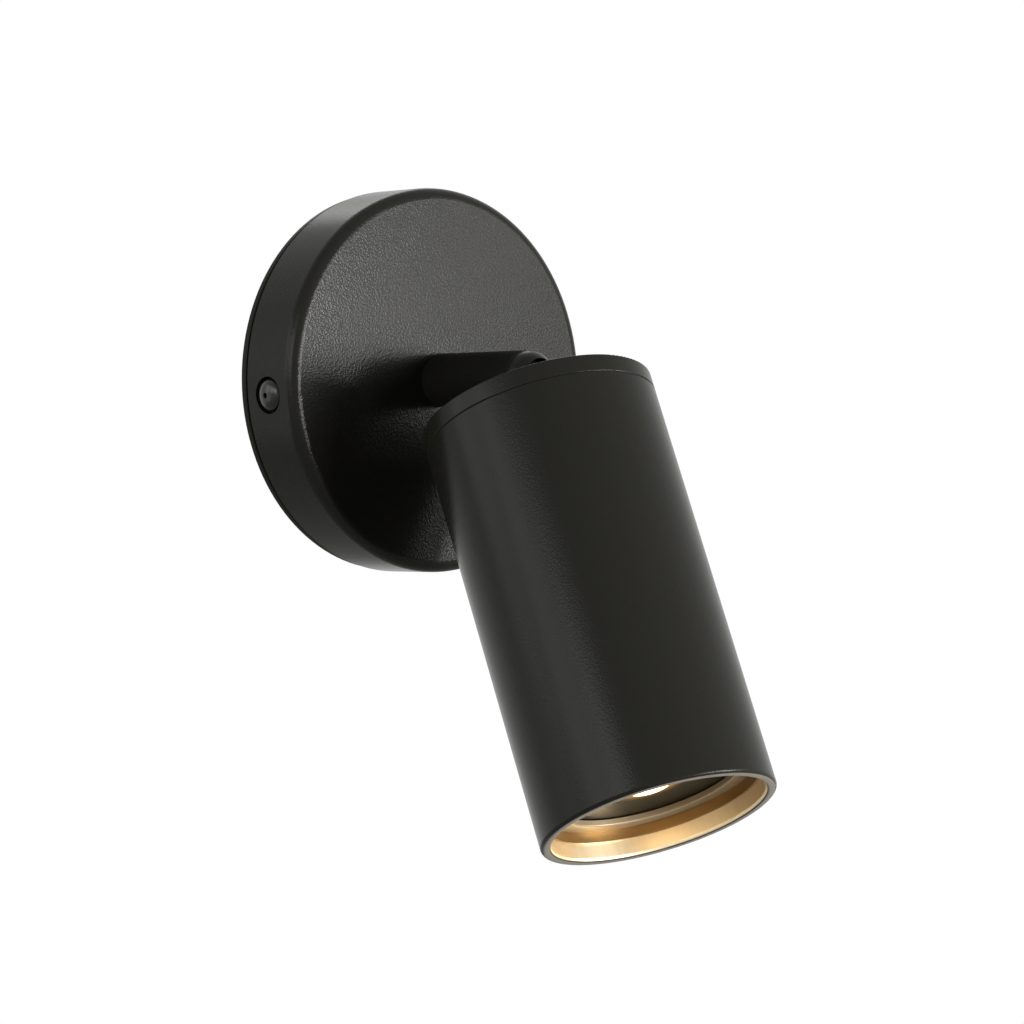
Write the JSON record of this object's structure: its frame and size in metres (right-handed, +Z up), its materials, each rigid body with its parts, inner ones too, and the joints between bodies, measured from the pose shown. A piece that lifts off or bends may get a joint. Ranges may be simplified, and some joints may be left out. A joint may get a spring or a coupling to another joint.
{
  "type": "pivoting spotlight wall light",
  "caption": "Wall spotlight: round canopy, short swivelling arm with a slotted ball joint, and a cylindrical head that tilts from hanging down to straight out.",
  "frame": {"origin": "middle of the wall plate's back face, on the wall", "axes": "+Z up, the wall is the XZ plane, the light stands out along -Y, +X to the right seen from the front"},
  "size_m": [0.1, 0.1335, 0.172],
  "materials": {
    "wall_plate": "satin",
    "cable_grommet": "matte",
    "canopy": "satin",
    "canopy_screws": "satin",
    "terminal_block": "matte",
    "terminal_tubes": "satin",
    "terminal_screws": "satin",
    "block_screw": "satin",
    "earth_washer": "satin",
    "earth_screw": "satin",
    "arm_tube": "satin",
    "arm_nipple": "satin",
    "stop_washer": "satin",
    "split_washer": "satin",
    "arm_nut": "satin",
    "knuckle": "satin",
    "pivot_pins": "satin",
    "friction_washers": "matte",
    "stem": "satin",
    "stem_washer": "satin",
    "stem_nut": "satin",
    "rear_cap": "matte",
    "head_tube": "matte",
    "lamp_ring": "matte",
    "lamp_body": "satin",
    "lamp_face": "gloss",
    "lamp_optic": "gloss",
    "lamp_base": "satin",
    "lamp_pins": "satin",
    "lamp_holder": "matte",
    "holder_contacts": "satin",
    "holder_strap": "satin",
    "holder_screws": "satin",
    "strap_screws": "satin"
  },
  "bodies": {
    "wall_mount": {"wall_plate": "wall_plate", "cable_grommet": "cable_grommet", "canopy": "canopy", "canopy_screws": "canopy_screws", "terminal_block": "terminal_block", "terminal_tubes": "terminal_tubes", "terminal_screws": "terminal_screws", "block_screw": "block_screw", "earth_washer": "earth_washer", "earth_screw": "earth_screw"},
    "arm": {"arm_tube": "arm_tube", "arm_nipple": "arm_nipple", "stop_washer": "stop_washer", "split_washer": "split_washer", "arm_nut": "arm_nut", "knuckle": "knuckle", "pivot_pins": "pivot_pins", "friction_washers": "friction_washers"},
    "head": {"stem": "stem", "stem_washer": "stem_washer", "stem_nut": "stem_nut", "rear_cap": "rear_cap", "head_tube": "head_tube", "lamp_ring": "lamp_ring", "lamp_body": "lamp_body", "lamp_face": "lamp_face", "lamp_optic": "lamp_optic", "lamp_base": "lamp_base", "lamp_pins": "lamp_pins", "lamp_holder": "lamp_holder", "holder_contacts": "holder_contacts", "holder_strap": "holder_strap", "holder_screws": "holder_screws", "strap_screws": "strap_screws"}
  },
  "joints": [
    {"name": "arm_swivel", "type": "hinge", "parent": "wall_mount", "child": "arm", "pos_m": [0, -0.021, 0], "axis": [0, -1, 0], "range_deg": [-165, 165]},
    {"name": "head_tilt", "type": "hinge", "parent": "arm", "child": "head", "pos_m": [0, -0.0542, 0], "axis": [-1, 0, 0], "range_deg": [-25.7, 64.3]}
  ]
}
